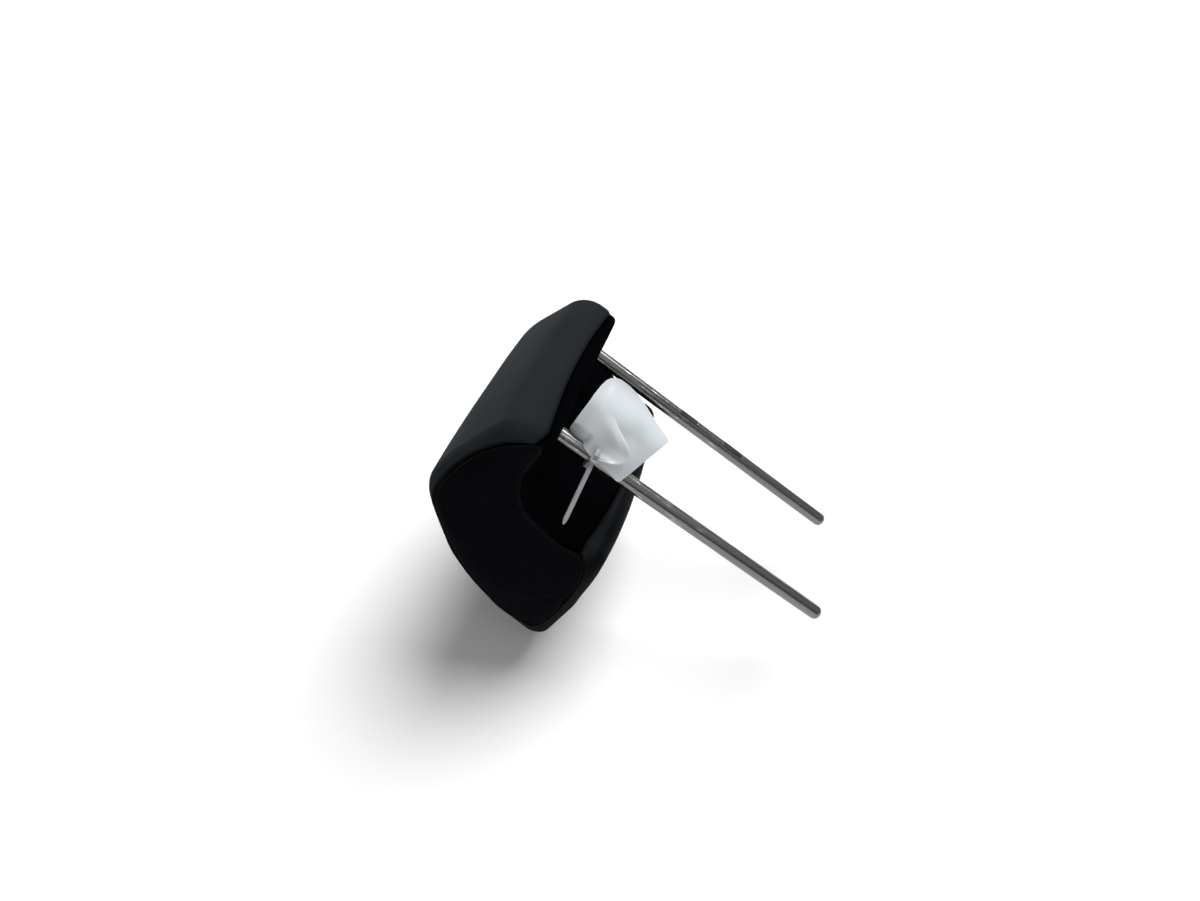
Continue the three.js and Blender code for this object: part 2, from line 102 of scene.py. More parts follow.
tidy_select()
bpy.ops.mesh.primitive_grid_add(x_subdivisions=8, y_subdivisions=8, size=12)
table = bpy.context.object
table.name = "table"
table.data.transform(table_up.to_track_quat("Z", "Y").to_matrix().to_4x4())
table.data.transform(Matrix.Translation(table_touch - table_gap * table_up))
material, tree, shader = new_material("white_table")
place = add_node(tree, "TexCoord")
paper = add_node(tree, "TexNoise", {"Vector": place.outputs["Object"], "Scale": 3, "Detail": 3})
tone = add_node(tree, "MapRange", {"Value": paper.outputs["Fac"], "To Min": 0.88, "To Max": 0.91})
fill_in(tree, shader, {"Base Color": tone.outputs["Result"], "Roughness": 0.9, "Specular IOR Level": 0.1})
ray = add_node(tree, "LightPath").outputs
mirrored = maths(tree, "MAXIMUM", ray["Is Glossy Ray"], ray["Is Transmission Ray"])
seen = maths(tree, "MAXIMUM", ray["Is Camera Ray"], mirrored)
glow = add_node(tree, "Emission", {"Strength": maths(tree, "MULTIPLY", seen, table_glow)})
both = add_node(tree, "AddShader", {0: shader.outputs["BSDF"], 1: glow.outputs["Emission"]})
side = add_node(tree, "NewGeometry")
clear = add_node(tree, "BsdfTransparent")
front = add_node(tree, "MixShader", {"Fac": side.outputs["Backfacing"], 1: both.outputs["Shader"],
                                     2: clear.outputs["BSDF"]})
fill_in(tree, tree.nodes["Material Output"], {"Surface": front.outputs["Shader"]})
own_material(table, material)

# Light: a broad soft light comes from the upper right of the picture, and a weaker one from beside the lens. The
# world is even, and white to the lens. In reflections it is dark just above the table and grey overhead, as a room
# is, so that steel keeps a dark line.
bpy.context.scene.view_settings.view_transform = "Standard"
world_light = 0.13


def soft_light(name, toward, strength, spread):
    lamp = bpy.data.lights.new(name, "SUN")
    lamp.energy = strength
    lamp.angle = math.radians(spread)
    holder = bpy.data.objects.new(name, lamp)
    holder.location = Vector(toward)
    holder.rotation_euler = Vector(toward).to_track_quat("Z", "Y").to_euler()
    bpy.context.collection.objects.link(holder)


soft_light("light_above", (-0.43, 0.85, 0.22), 3.75, 43)
soft_light("light_beside_lens", (0.45, 0.80, 0.25), 0.28, 60)

world = bpy.data.worlds.new("studio")
bpy.context.scene.world = world
world.use_nodes = True
tree = world.node_tree
toward = add_node(tree, "TexCoord")
over_table = add_node(tree, "VectorMath", {0: toward.outputs["Generated"], 1: table_up}, operation="DOT_PRODUCT")
room = add_node(tree, "MapRange", {"Value": over_table.outputs["Value"], "From Min": 0.14, "From Max": 0.42,
                                   "To Min": 0.03, "To Max": 0.46})
ray = add_node(tree, "LightPath").outputs
shine = add_node(tree, "Mix", {"Factor": ray["Is Glossy Ray"], "A": world_light, "B": room.outputs["Result"]})
clear_ray = maths(tree, "MAXIMUM", ray["Is Camera Ray"], ray["Is Transmission Ray"])
pick_white = add_node(tree, "Mix", {"Factor": clear_ray, "A": shine.outputs["Result"], "B": 1.0})
fill_in(tree, tree.nodes["Background"], {"Color": (1, 1, 1, 1), "Strength": pick_white.outputs["Result"]})

# Bent bar: one drawn steel rod, 12 mm thick, bent four times, so that it makes both posts and the crossbar inside
# the cushion. Its ends are domed, and the post on the sitter's right has two height notches milled in its rear.
post_radius = 0.006
post_x = 0.055
shelf_z = 0.264
bend_radius = 0.022
arm_reach = 0.078
tip_flat = 0.0025
tip_height = 0.0045
notch_depth = 0.0011
notch_spans = [(0.104, 0.125), (0.156, 0.175)]


def edit_mode(piece, kind="VERT"):
    bpy.context.view_layer.objects.active = piece
    piece.select_set(True)
    bpy.ops.object.mode_set(mode="EDIT")
    bpy.ops.mesh.select_mode(type=kind)


def object_mode():
    bpy.ops.object.mode_set(mode="OBJECT")


def choose(piece, kind, rule):
    # Edit mode, with just those edges or faces selected that the rule picks
    mesh = bmesh.new()
    mesh.from_mesh(piece.data)
    for part in (*mesh.verts, *mesh.edges, *mesh.faces):
        part.select_set(False)
    for part in mesh.edges if kind == "EDGE" else mesh.faces:
        if rule(part):
            part.select_set(True)
    mesh.to_mesh(piece.data)
    mesh.free()
    edit_mode(piece, kind)


def at_origin(piece):
    piece.data.transform(piece.matrix_basis)
    piece.matrix_basis = Matrix.Identity(4)


def apply_modifiers(piece):
    tidy_select()
    bpy.context.view_layer.objects.active = piece
    piece.select_set(True)
    for modifier in list(piece.modifiers):
        bpy.ops.object.modifier_apply(modifier=modifier.name)


def clean_up(piece, merge=0.00001, angle=35):
    tidy_select()
    edit_mode(piece)
    bpy.ops.mesh.select_all(action="SELECT")
    bpy.ops.mesh.remove_doubles(threshold=merge)
    bpy.ops.mesh.normals_make_consistent(inside=False)
    object_mode()
    bpy.ops.object.shade_smooth_by_angle(angle=math.radians(angle))


def push(offset):
    bpy.ops.mesh.extrude_region_move(TRANSFORM_OT_translate={"value": offset})


def shrink(factor, centre):
    bpy.ops.transform.resize(value=(factor, factor, factor), center_override=centre)


def bend(centre, axis, turn, steps=14):
    bpy.ops.mesh.spin(steps=steps, angle=turn * math.pi / 2, center=centre, axis=axis)


def dome_end(x, steps=7):
    # From the open end at tip_height down to the small flat on the tip
    width = post_radius
    height = tip_height
    for i in range(1, steps + 1):
        turn = i / steps * math.pi / 2
        new_width = tip_flat + (post_radius - tip_flat) * math.cos(turn)
        new_height = tip_height * (1 - math.sin(turn))
        push((0, 0, new_height - height))
        shrink(new_width / width, (x, 0, new_height))
        width, height = new_width, new_height
    bpy.ops.mesh.edge_face_add()


tidy_select()
bpy.ops.mesh.primitive_circle_add(vertices=40, radius=post_radius, location=(post_x, 0, tip_height))
bar = bpy.context.object
bar.name = "bent_bar"
edit_mode(bar)
bpy.ops.mesh.select_all(action="SELECT")
push((0, 0, shelf_z - tip_height))
bend((post_x, -bend_radius, shelf_z), (1, 0, 0), -1)
push((0, 2 * bend_radius - arm_reach, 0))
bend((post_x - bend_radius, bend_radius - arm_reach, shelf_z + bend_radius), (0, 0, 1), 1)
push((2 * bend_radius - 2 * post_x, 0, 0))
bend((bend_radius - post_x, bend_radius - arm_reach, shelf_z + bend_radius), (0, 0, 1), 1)
push((0, arm_reach - 2 * bend_radius, 0))
bend((-post_x, -bend_radius, shelf_z), (1, 0, 0), 1)
push((0, 0, tip_height - shelf_z))
dome_end(-post_x)
object_mode()
at_origin(bar)
choose(bar, "EDGE", lambda edge: edge.is_boundary)
dome_end(post_x)
object_mode()


def cutter_block(name, low, high):
    tidy_select()
    bpy.ops.mesh.primitive_cube_add(size=1, location=(Vector(low) + Vector(high)) / 2)
    block = bpy.context.object
    block.name = name
    block.scale = Vector(high) - Vector(low)
    at_origin(block)
    return block


for low_z, high_z in notch_spans:
    block = cutter_block("notch_cutter", (-post_x - 0.008, post_radius - notch_depth, low_z),
                         (-post_x + 0.008, post_radius + 0.004, high_z))
    cut = bar.modifiers.new("notch", "BOOLEAN")
    cut.operation = "DIFFERENCE"
    cut.solver = "EXACT"
    cut.object = block
    apply_modifiers(bar)
    bpy.data.objects.remove(block)
edges = bar.modifiers.new("soft_edges", "BEVEL")
edges.width = 0.0004
edges.segments = 2
edges.limit_method = "ANGLE"
edges.angle_limit = math.radians(28)
apply_modifiers(bar)
clean_up(bar, angle=30)
even = bar.modifiers.new("even_shading", "WEIGHTED_NORMAL")
even.keep_sharp = True
apply_modifiers(bar)


def new_group(name, inputs, outputs):
    tree = bpy.data.node_groups.new(name, "ShaderNodeTree")
    for sockets, in_out in ((inputs, "INPUT"), (outputs, "OUTPUT")):
        for socket_name, kind in sockets.items():
            tree.interface.new_socket(socket_name, in_out=in_out, socket_type="NodeSocket" + kind)
    return tree, tree.nodes.new("NodeGroupInput").outputs, tree.nodes.new("NodeGroupOutput")


# Mottle: a broad drift of tone with a fine grain over it, which every finish here has in its own measure
mottle, given, result = new_group(
    "mottle", {"Vector": "Vector", "Color": "Color", "Drift": "Float", "Scale": "Float", "Grain": "Float",
               "Roughness": "Float", "Spread": "Float"},
    {"Color": "Color", "Roughness": "Float", "Height": "Float"})
broad = add_node(mottle, "TexNoise", {"Vector": given["Vector"], "Scale": given["Scale"], "Detail": 4})
fine = add_node(mottle, "TexNoise", {"Vector": given["Vector"], "Scale": given["Grain"], "Detail": 2})
swing = maths(mottle, "SUBTRACT", broad.outputs["Fac"], 0.5)
level = maths(mottle, "MULTIPLY_ADD", swing, given["Drift"], 1)
tint = add_node(mottle, "VectorMath", {"Vector": given["Color"], "Scale": level}, operation="SCALE")
rough = maths(mottle, "MULTIPLY_ADD", swing, given["Spread"], given["Roughness"])
fill_in(mottle, result, {"Color": tint.outputs["Vector"], "Roughness": rough, "Height": fine.outputs["Fac"]})


def mottled(tree, colour, drift, scale, grain, roughness, spread, vector=None):
    if vector is None:
        vector = add_node(tree, "TexCoord").outputs["Object"]
    values = {"Vector": vector, "Color": colour, "Drift": drift, "Scale": scale, "Grain": grain,
              "Roughness": roughness, "Spread": spread}
    return add_node(tree, "Group", values, node_tree=mottle).outputs


def bumped(tree, shader, height, strength, distance):
    bump = add_node(tree, "Bump", {"Height": height, "Strength": strength, "Distance": distance})
    fill_in(tree, shader, {"Normal": bump.outputs["Normal"]})
    return bump


def plain_finish(name, colour, drift, scale, grain, roughness, spread, bump, **values):
    # Material whose tone and gloss drift, with the grain as its relief
    material, tree, shader = new_material(name)
    finish = mottled(tree, colour, drift, scale, grain, roughness, spread)
    fill_in(tree, shader, {"Base Color": finish["Color"], "Roughness": finish["Roughness"]})
    fill_in(tree, shader, {name.replace("_", " "): value for name, value in values.items()})
    bumped(tree, shader, finish["Height"], *bump)
    return material


# Drawn steel: fine lines run along the posts, and near the top brighter streaks are partly rubbed marks left by the
# guide sleeves and partly painted highlights
material, tree, shader = new_material("drawn_steel")
place = add_node(tree, "TexCoord").outputs["Object"]
stretch = add_node(tree, "Mapping", {"Vector": place, "Scale": (1, 1, 0.04)}).outputs["Vector"]
short = add_node(tree, "Mapping", {"Vector": place, "Scale": (1, 1, 0.12)}).outputs["Vector"]
finish = mottled(tree, (0.19, 0.195, 0.185, 1), 0.8, 60, 1600, 0.24, 0.14, stretch)
lines = add_node(tree, "TexNoise", {"Vector": stretch, "Scale": 1500, "Detail": 3})
streaks = add_node(tree, "TexNoise", {"Vector": short, "Scale": 420, "Detail": 5, "Roughness": 0.65})
rubbed_and_lit = add_node(tree, "MapRange", {"Value": streaks.outputs["Fac"], "From Min": 0.57, "From Max": 0.66})
height_at = add_node(tree, "SeparateXYZ", {"Vector": place})
near_top = add_node(tree, "MapRange", {"Value": height_at.outputs["Z"], "From Min": 0.11, "From Max": 0.19})
worn_and_lit = maths(tree, "MULTIPLY", rubbed_and_lit.outputs["Result"], near_top.outputs["Result"])
# The bright streak colour is part wear, part painted highlight
bright = (0.88, 0.88, 0.84, 1)
blend_wear_and_highlight = add_node(tree, "Mix", {"Factor": worn_and_lit, 6: finish["Color"], 7: bright}, data_type="RGBA")
fill_in(tree, shader, {"Base Color": blend_wear_and_highlight.outputs[2], "Roughness": finish["Roughness"], "Metallic": 1})
bumped(tree, shader, lines.outputs["Fac"], 0.25, 0.00006)
own_material(bar, material)
# The notch floors get a much darker, rougher steel
dark_notch_finish = plain_finish("dark_notch_steel", (0.055, 0.056, 0.052, 1), 0.8, 90, 1500, 0.42, 0.2, (0.3, 0.00005), Metallic=1)
bar.data.materials.append(dark_notch_finish)
for face in bar.data.polygons:
    in_notch = any(low < face.center.z < high for low, high in notch_spans)
    if in_notch and face.center.x < 0 and face.normal.y > 0.83 and face.center.y < post_radius - 0.8 * notch_depth:
        face.material_index = 1
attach(bar, "root")
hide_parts("post_frame")

# Core: two moulded plastic halves that clamp the crossbar, held by four screws from below. Both are buried in the
# foam, and their solids come from the frame.
material = plain_finish("moulded_core", (0.042, 0.045, 0.048, 1), 0.25, 60, 2200, 0.55, 0.1, (0.3, 0.00008))
for name in ("core_lower", "core_upper"):
    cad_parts[name].material_slots[0].material = material
material = plain_finish("zinc_screw", (0.55, 0.55, 0.52, 1), 0.35, 240, 2600, 0.36, 0.14, (0.2, 0.00004), Metallic=1)
for i in range(1, 5):
    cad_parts["core_screw_%d" % i].material_slots[0].material = material

# Cushion: moulded foam over the core, in a cover of fine black knit. It is a comma in side view, with a thick lobe
# in front and a recess below the rear, and it is filled and sewn: the panels swell between their seams. Lengths in
# this section are in millimetres.
profile = [
    (23.5, 266, 8), (26, 301.5, 27), (-47, 324, 110), (-78, 325, 38), (-126, 279, 60), (-167, 212, 60),
    (-181, 158, 14), (-110, 162, 80), (-37, 179, 13), (-46, 222, 50), (-36, 264, 28),
]
spine = np.array([(6, 282), (-33, 291), (-82, 288), (-103, 245), (-108, 208), (-98, 188)], float)
side_start = 83
side_dome = 14
widening = 0.155
widening_length = 120
lobe_crown = 6
lip_top_z = 274
lip_rise = 6
lip_y = 13
inner_seam_z = 199
inner_seam_drop = 11
edge_drop = 2.2
pad_pressure = 4
pad_frames = 20
pad_smoothing = 14
fill_cap = 2.0
# How far in from the outline the side seam runs, along the outline from its lower rear corner
seam_inset = [
    (0, 0.28), (8, 0.37), (24, 0.6), (40, 0.66), (52, 0.52), (64, 0.36), (80, 0.26), (120, 0.26), (200, 0.27),
    (300, 0.26), (330, 0.3), (348, 0.46), (400, 0.53), (450, 0.48), (468, 0.47), (478, 0.38), (488, 0.16),
    (520, 0.2), (535, 0.3), (550, 0.26), (600, 0.24),
]


def rounded_outline(corners, step):
    points = []
    for i, (y, z, radius) in enumerate(corners):
        here = np.array((y, z), float)
        before = np.array(corners[i - 1][:2]) - here
        after = np.array(corners[(i + 1) % len(corners)][:2]) - here
        before /= np.linalg.norm(before)
        after /= np.linalg.norm(after)
        half = math.acos(before @ after) / 2
        centre = here + (before + after) / np.linalg.norm(before + after) * radius / math.sin(half)
        start = here + before * radius / math.tan(half) - centre
        end = here + after * radius / math.tan(half) - centre
        turn = math.atan2(start[0] * end[1] - start[1] * end[0], start @ end)
        count = max(1, round(abs(turn) * radius / step))
        for k in range(count + 1):
            c, s = math.cos(turn * k / count), math.sin(turn * k / count)
            points.append(centre + (start[0] * c - start[1] * s, start[0] * s + start[1] * c))
    points = np.array(points + points[:1])
    run = np.r_[0, np.cumsum(np.linalg.norm(np.diff(points, axis=0), axis=1))]
    return points, run


outline, outline_run = rounded_outline(profile, 1.0)
outline_length = outline_run[-1]


def on_outline(run):
    run = np.mod(run, outline_length)
    return np.stack((np.interp(run, outline_run, outline[:, 0]), np.interp(run, outline_run, outline[:, 1])), -1)


def outline_out(run):
    along = on_outline(run + 3) - on_outline(run - 3)
    along /= np.linalg.norm(along, axis=-1, keepdims=True)
    return np.stack((along[..., 1], -along[..., 0]), -1)


def on_spine(points):
    best = np.full(points.shape[:-1], np.inf)
    nearest = np.zeros_like(points)
    for a, b in zip(spine[:-1], spine[1:]):
        t = np.clip(((points - a) @ (b - a)) / ((b - a) @ (b - a)), 0, 1)
        q = a + t[..., None] * (b - a)
        distance = np.linalg.norm(points - q, axis=-1)
        nearest = np.where((distance < best)[..., None], q, nearest)
        best = np.minimum(best, distance)
    return nearest


def smooth(x, low, high):
    t = np.clip((x - low) / (high - low), 0, 1)
    return t * t * (3 - 2 * t)


def run_where(axis, value, low, high):
    # Place along the outline, between two others, where it crosses that y (axis 0) or z (axis 1)
    trial = np.linspace(low, high, 2000)
    return trial[np.argmin(np.abs(on_outline(trial)[:, axis] - value))]


lip_seam = run_where(1, lip_top_z, 0, 40)
inner_seam = run_where(1, inner_seam_z, outline_length * 0.74, outline_length * 0.86)
shelf_seam = run_where(0, lip_y, outline_length - 30, outline_length)


def stations(marks, spacing, closed_length=None):
    # Even steps between marks, with the marks themselves kept; returns places and which of them are marks
    places, kept = [], []
    ends = list(marks) + ([marks[0] + closed_length] if closed_length else [])
    for a, b in zip(ends[:-1], ends[1:]):
        count = max(2, round((b - a) / spacing))
        kept.append(len(places))
        places += list(a + (b - a) * np.arange(count) / count)
    if not closed_length:
        kept.append(len(places))
        places.append(ends[-1])
    return np.array(places), kept


# Rough form: one ring of points round the outline for each station across the cushion
runs, (lip_at, inner_at, shelf_at) = stations((lip_seam, inner_seam, shelf_seam), 5.0, outline_length)
middle_x, _ = stations((-side_start, 0, side_start), 6.5)
shoulder, panel = 5, 7
rings = [("panel", -1, g) for g in np.linspace(0.86, 0, panel)]
rings += [("shoulder", -1, f) for f in np.linspace(1, 0, shoulder + 1)[1:-1]]
rings += [("middle", 0, x) for x in middle_x]
rings += [("shoulder", 1, f) for f in np.linspace(0, 1, shoulder + 1)[1:-1]]
rings += [("panel", 1, g) for g in np.linspace(0, 0.86, panel)]
side_at = (panel - 1, len(rings) - panel)

inset_run, inset_share = np.array(seam_inset).T
seam_k = np.interp(np.mod(runs, outline_length), inset_run, inset_share, period=outline_length)
for _ in range(2):
    seam_k = (np.roll(seam_k, 1) + 2 * seam_k + np.roll(seam_k, -1)) / 4


def ring_points(kind, side, value):
    # Seams that run across the cushion are arched, so the places along the outline move with x
    x = value if kind == "middle" else side * side_start
    arch = max(0, 1 - (x / side_start) ** 2)
    moved = runs.copy()
    lift = np.interp(np.mod(runs - lip_seam, outline_length), (0, 60, outline_length - 24, outline_length),
                     (1, 0, 0, 1))
    drop = np.interp(runs, (inner_seam - 60, inner_seam, inner_seam + 60), (0, 1, 0))
    moved += arch * (lip_rise * lift - inner_seam_drop * drop)
    flat = on_outline(moved)
    crown = smooth(215 - flat[:, 1], 0, 45) * smooth(flat[:, 0], -150, -60)
    outer_face = 1 - smooth(runs, inner_seam - 90, inner_seam - 40)
    drop = edge_drop * (x / side_start) ** 2 * outer_face
    flat = flat + outline_out(moved) * (lobe_crown * arch * crown - drop)[:, None]
    in_recess = (flat[:, 0] > -75) & (flat[:, 1] < 264.3)
    crispness = 0.55 + 0.27 * np.exp(-((flat[:, 1] - 243) / 17) ** 2)
    softness = 1 - crispness * in_recess * smooth(flat[:, 1], 176, 196) * (1 - smooth(flat[:, 0], -12, 14))
    if kind == "middle":
        k = np.zeros(len(runs))
    elif kind == "shoulder":
        k = seam_k * (1 - math.cos(value * math.pi / 2))
    else:
        k = seam_k + (1 - seam_k) * value
    target = on_spine(flat)
    for _ in range(10):
        target = (np.roll(target, 1, axis=0) + 2 * target + np.roll(target, -1, axis=0)) / 4
        softness = (np.roll(softness, 1) + 10 * softness + np.roll(softness, -1)) / 12
    inward = flat + (target - flat) * (k * softness)[:, None]
    bulge = np.sqrt(1 - (1 - k) ** 2)
    # The foam is fuller on the left over the front, and on the right over the top and beside the recess
    if side < 0:
        full = 2.8 * np.exp(-((flat[:, 0] + 40) / 40) ** 2 - ((flat[:, 1] - 312) / 30) ** 2) * np.minimum(1, 3 * bulge)
        squeezed = np.exp(-((flat[:, 1] - 243) / 29) ** 2) * in_recess * (1 - smooth(flat[:, 0], -30, -8))
        full = full + 7.5 * squeezed * (value if kind == "shoulder" else 1)
    else:
        full = 5.5 * np.exp(-((flat[:, 0] + 140) / 50) ** 2 - ((flat[:, 1] - 245) / 60) ** 2) * np.minimum(1, 2 * bulge)
    dome = side_start - 1 + side_dome * bulge + full
    across = np.full(len(runs), float(value)) if kind == "middle" else side * dome
    t = np.clip((24 - inward[:, 0]) / widening_length, 0, 1)
    across = across * (1 + widening * np.sin(t * math.pi / 2))
    return np.stack((across, inward[:, 0], inward[:, 1]), -1)


form = np.array([ring_points(*ring) for ring in rings])
ring_count, run_count = form.shape[:2]


def closed_mesh(name, points):
    # Quads between neighbouring rings, and both ends closed with a strip of triangles
    count = points.shape[1]
    index = np.arange(points.shape[0] * count).reshape(points.shape[:2])
    following = np.roll(index, -1, axis=1)
    quads = np.stack((index[:-1], index[1:], following[1:], following[:-1]), -1).reshape(-1, 4)
    mesh = bpy.data.meshes.new(name)
    mesh.from_pydata((points.reshape(-1, 3) / 1000).tolist(), [], quads.tolist())
    piece = bpy.data.objects.new(name, mesh)
    bpy.context.collection.objects.link(piece)
    skin = bmesh.new()
    skin.from_mesh(mesh)
    skin.edges.ensure_lookup_table()
    for ring in (0, points.shape[0] - 1):
        wanted = set(index[ring].tolist())
        edges = [e for e in skin.edges if e.is_boundary and e.verts[0].index in wanted]
        bmesh.ops.triangle_fill(skin, use_beauty=True, use_dissolve=False, edges=edges)
    bmesh.ops.recalc_face_normals(skin, faces=skin.faces)
    skin.to_mesh(mesh)
    skin.free()
    return piece


# Filling: pressure swells the panels while the seams are held, and no point moves further than fill_cap
tidy_select()
pad = closed_mesh("filling", form)
held = pad.vertex_groups.new(name="seams")
index = np.arange(ring_count * run_count).reshape(ring_count, run_count)
held.add(index[list(side_at)].ravel().tolist(), 1.0, "REPLACE")
for seam_at in (lip_at, inner_at, shelf_at):
    held.add(index[side_at[0]:side_at[1] + 1, seam_at].tolist(), 1.0, "REPLACE")
cloth = pad.modifiers.new("cloth", "CLOTH")
cloth.settings.quality = 6
cloth.settings.use_pressure = True
cloth.settings.uniform_pressure_force = pad_pressure
cloth.settings.effector_weights.gravity = 0
cloth.settings.vertex_group_mass = "seams"
cloth.point_cache.frame_start = 1
cloth.point_cache.frame_end = pad_frames
for step in range(1, pad_frames + 1):
    bpy.context.scene.frame_set(step)
posed = pad.evaluated_get(bpy.context.evaluated_depsgraph_get())
swollen = np.empty(len(posed.data.vertices) * 3)
posed.data.vertices.foreach_get("co", swollen)
swollen = swollen.reshape(-1, 3)[:ring_count * run_count].reshape(form.shape) * 1000
# The knit evens out what the pressure does: wrinkles finer than a hand's width are smoothed away
moved = swollen - form
for _ in range(pad_smoothing):
    moved[1:-1] = (moved[:-2] + 2 * moved[1:-1] + moved[2:]) / 4
    moved = (np.roll(moved, 1, axis=1) + 2 * moved + np.roll(moved, -1, axis=1)) / 4
size = np.linalg.norm(moved, axis=-1)
moved *= (fill_cap * np.tanh(size / fill_cap) / np.maximum(size, 1e-6))[..., None]
form = form + moved
bpy.context.scene.frame_set(1)
bpy.data.objects.remove(pad)


# Cover: the form is drawn again with close rings beside every seam
def between(values, places, periodic):
    # Values at places between the rows, on a smooth curve through them
    low = np.floor(places).astype(int)
    t = places - low
    count = values.shape[0]

    def row(i):
        return values[np.mod(i, count)] if periodic else values[np.clip(i, 0, count - 1)]

    a, b, c, d = row(low - 1), row(low), row(low + 1), row(low + 2)
    t = t.reshape((-1,) + (1,) * (values.ndim - 1))
    return b + 0.5 * t * (c - a + t * (2 * a - 5 * b + 4 * c - d + t * (3 * (b - c) + d - a)))


def refined(count, marks, periodic, parts, near):
    # Places between rows, in parts for each row, and closer within the two rows beside each mark
    places = []
    for i in range(count if periodic else count - 1):
        before = i in marks
        after = (i + 1) % count in marks if periodic else i + 1 in marks
        if before:
            places += [i, i + near / 3, i + near * 2 / 3, i + near, i + 1.7 * near]
            places += list(i + 1.7 * near + (1 - 1.7 * near) * np.arange(1, parts) / parts)
        elif after:
            steps = [1.7 * near, near, near * 2 / 3, near / 3]
            places += list(i + (1 - 1.7 * near) * np.arange(parts) / parts)
            places += [i + 1 - s for s in steps]
        else:
            places += list(i + np.arange(parts) / parts)
    if not periodic:
        places.append(count - 1)
    return np.array(places)


ring_places = refined(ring_count, side_at, False, 2, 0.3)
run_places = refined(run_count, (lip_at, inner_at, shelf_at), True, 2, 0.3)
cover_form = between(form, ring_places, False)
cover_form = between(cover_form.transpose(1, 0, 2), run_places, True).transpose(1, 0, 2)
side_rows = [int(np.argmin(np.abs(ring_places - at))) for at in side_at]
lip_row, inner_row, shelf_row = (int(np.argmin(np.abs(run_places - at))) for at in (lip_at, inner_at, shelf_at))


def surface_out(points):
    across = np.gradient(points, axis=0)
    round_it = np.roll(points, -1, axis=1) - np.roll(points, 1, axis=1)
    out = np.cross(round_it, across)
    out /= np.maximum(np.linalg.norm(out, axis=-1, keepdims=True), 1e-9)
    if (out[:, :, 0] * points[:, :, 0]).sum() < 0:
        out = -out
    return out


out = surface_out(cover_form)
steps_across = np.linalg.norm(np.diff(cover_form, axis=0), axis=-1)
across_run = np.concatenate((np.zeros((1, cover_form.shape[1])), np.cumsum(steps_across, axis=0)))
steps_round = np.linalg.norm(np.roll(cover_form, -1, axis=1) - cover_form, axis=-1)
round_run = np.concatenate((np.zeros((cover_form.shape[0], 1)), np.cumsum(steps_round, axis=1)), axis=1)
girth = round_run[:, -1:]
round_run = round_run[:, :-1]
# Distance from each side seam, above zero on the side panel, and from the seams that run across
to_left = across_run - across_run[side_rows[1]]
to_right = across_run[side_rows[0]] - across_run
to_side = np.maximum(to_left, to_right)


def to_row(row):
    gap = round_run - round_run[:, row:row + 1]
    return (gap + girth / 2) % girth - girth / 2


wrapped = to_side < 0.01
fade = smooth(-to_side, 0.0, 2.0)
to_lip, to_inner, to_shelf = to_row(lip_row), to_row(inner_row), to_row(shelf_row)


def ridge(distance, centre, width):
    return np.exp(-((distance - centre) / width) ** 2)


# Each side seam has a raised fold on the wrap and a stitched groove on the side. The rear panel ends in a folded
# edge that hangs over the lip, and the seams to the inner panel are plain.
piece_run = np.broadcast_to(round_run, cover_form.shape[:2])
plain = 1 - smooth(to_inner, 12, 36) * (1 - smooth(to_shelf, 4, 22))
raised = 0.7 * ridge(to_side, -1.7, 1.3) * plain
groove = (-1.6 * ridge(to_side, 0.3, 0.9) - 0.3 * ridge(to_side, 0.5, 5.0)) * plain
behind = smooth(-to_lip, -0.5, 1.0) * np.exp(-(to_lip / 5.5) ** 2)
lip_form = 0.3 * ridge(to_lip, 2.2, 2.5) - 4.0 * behind + 0.4 * ridge(to_lip, -9, 5)
inner_form = -1.5 * ridge(to_inner, 0, 1.0) - 0.6 * ridge(to_inner, 0, 4) + 0.7 * ridge(to_inner, -2.2, 1.4)
shelf_form = -1.2 * ridge(to_shelf, 0, 1.0) - 0.6 * ridge(to_shelf, 0, 4)
puckers = 0.1 * np.sin(piece_run * 0.7 + 2 * np.sin(piece_run / 13)) * np.exp(-np.abs(to_side) / 7)
waves = 0.35 * np.sin(piece_run / 23 + 1.3) * np.sin(across_run / 31 + 0.5) * smooth(np.abs(to_side), 0, 18)
height = raised + groove + fade * (lip_form + inner_form + shelf_form) + puckers + waves
cover = cover_form + out * height[..., None]
# Distance to the nearest seam, which sets how much painted shade the knit gets in its seams
seam_gap = np.abs(to_side) + 12 * (1 - plain)
for gap in (to_lip, to_inner, to_shelf):
    seam_gap = np.where(wrapped, np.minimum(seam_gap, np.abs(gap)), seam_gap)

cushion = closed_mesh("cushion", cover)
mesh = cushion.data
marks = mesh.attributes.new("seam_gap", "FLOAT", "POINT")
marks.data.foreach_set("value", np.minimum(seam_gap, 30).ravel())
# Painted shade on the wrap: its colour is darkened fully under the lobe, where shade falls, and by half near its lower
# edge, where the cloth turns under
painted_shade = mesh.attributes.new("painted_shade", "FLOAT", "POINT")
shade_under_lobe = (1 - smooth(cover[..., 2], 190, 262)) * smooth(-out[..., 2], -0.1, 0.5)
shade_near_hem = 0.45 * (1 - smooth(cover[..., 2], 268, 298))
painted_shade.data.foreach_set("value", np.minimum(shade_under_lobe + shade_near_hem, 1).ravel())
